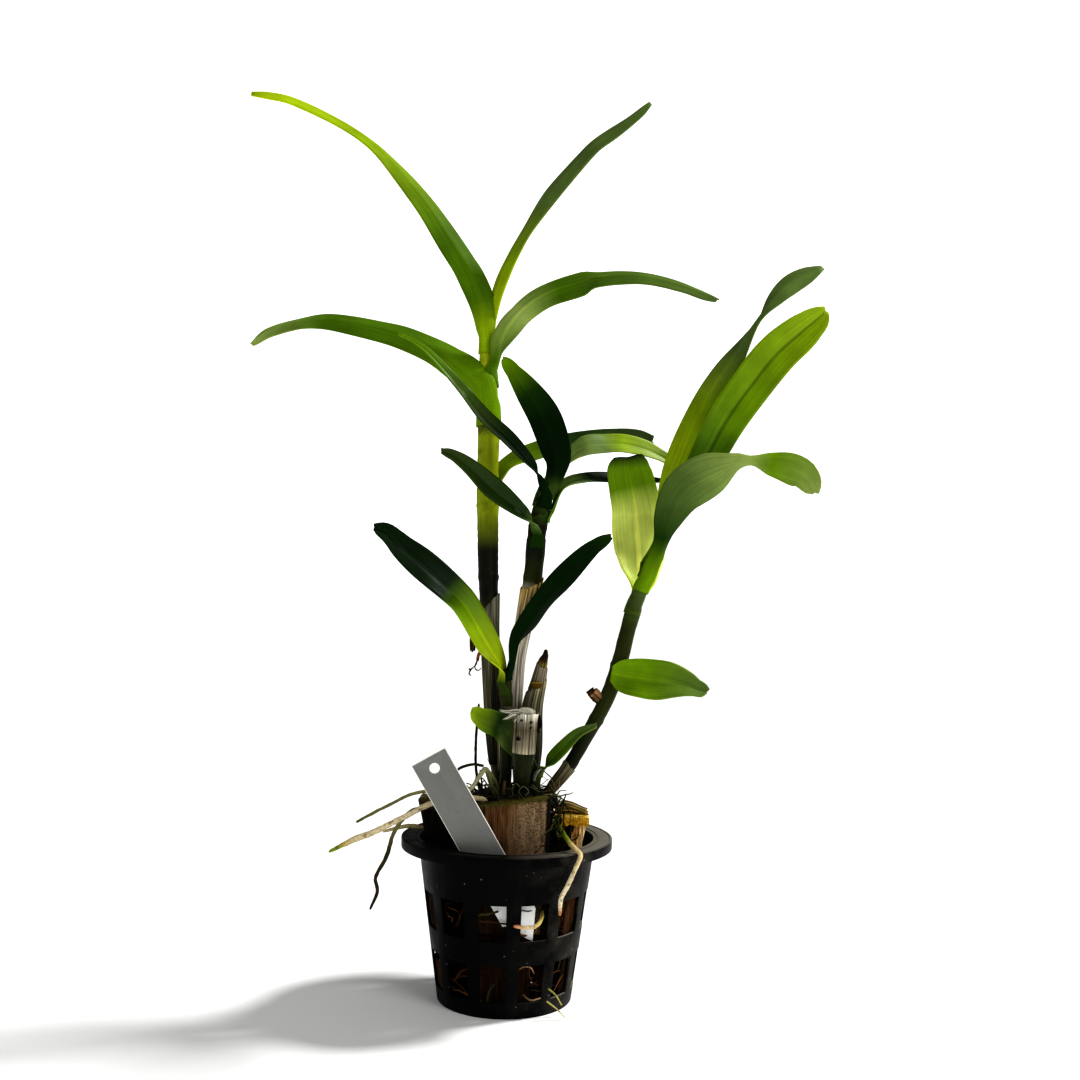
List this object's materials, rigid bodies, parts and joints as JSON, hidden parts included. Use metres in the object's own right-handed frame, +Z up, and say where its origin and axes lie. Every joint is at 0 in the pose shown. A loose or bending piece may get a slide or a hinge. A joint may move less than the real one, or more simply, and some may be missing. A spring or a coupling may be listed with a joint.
{
  "type": "dendrobium orchid in a net pot",
  "caption": "Dendrobium orchid with jointed upright canes and strap leaves, rooted in coconut husk in a black plastic net pot with a plain label.",
  "frame": {"origin": "centre of the pot's base, on the surface it stands on", "axes": "+Z up, -Y towards the front with the label, +X to the right as seen from the front"},
  "size_m": [0.319, 0.11, 0.482],
  "materials": {
    "black_plastic": "satin, moulded",
    "label_plastic": "smooth, semi-matte",
    "coconut_husk": "rough, fibrous",
    "rhizome_bark": "rough",
    "green_cane": "waxy, smooth",
    "dry_cane": "dry, papery, lengthwise streaks",
    "leaf_blade": "waxy, slightly glossy",
    "root_skin": "dry, spongy skin"
  },
  "bodies": {
    "root": {"cane_cut": "dry_cane", "cane_middle": "green_cane", "cane_old": "dry_cane", "cane_right": "green_cane", "cane_shoot": "green_cane", "cane_short": "green_cane", "cane_tall": "green_cane", "husk_back": "coconut_husk", "husk_front": "coconut_husk", "husk_left": "coconut_husk", "husk_low_back": "coconut_husk", "husk_low_front": "coconut_husk", "husk_low_left": "coconut_husk", "husk_low_middle": "coconut_husk", "husk_low_right": "coconut_husk", "husk_middle": "coconut_husk", "husk_right": "coconut_husk", "leaf_middle_1": "leaf_blade", "leaf_middle_2": "leaf_blade", "leaf_middle_3": "leaf_blade", "leaf_middle_4": "leaf_blade", "leaf_middle_5": "leaf_blade", "leaf_right_1": "leaf_blade", "leaf_right_2": "leaf_blade", "leaf_right_3": "leaf_blade", "leaf_right_4": "leaf_blade", "leaf_right_5": "leaf_blade", "leaf_shoot_1": "leaf_blade", "leaf_shoot_2": "leaf_blade", "leaf_short_1": "leaf_blade", "leaf_short_2": "leaf_blade", "leaf_tall_1": "leaf_blade", "leaf_tall_2": "leaf_blade", "leaf_tall_3": "leaf_blade", "leaf_tall_4": "leaf_blade", "leaf_tall_5": "leaf_blade", "net_pot": "black_plastic", "plant_label": "label_plastic", "rhizome": "rhizome_bark", "root_arch": "root_skin", "root_dark": "root_skin", "root_left_fork": "root_skin", "root_left_hanging": "root_skin", "root_left_long": "root_skin", "root_left_short": "root_skin", "root_right_hanging": "root_skin", "root_upright": "root_skin", "root_window": "root_skin", "stub_right": "dry_cane"}
  },
  "joints": []
}
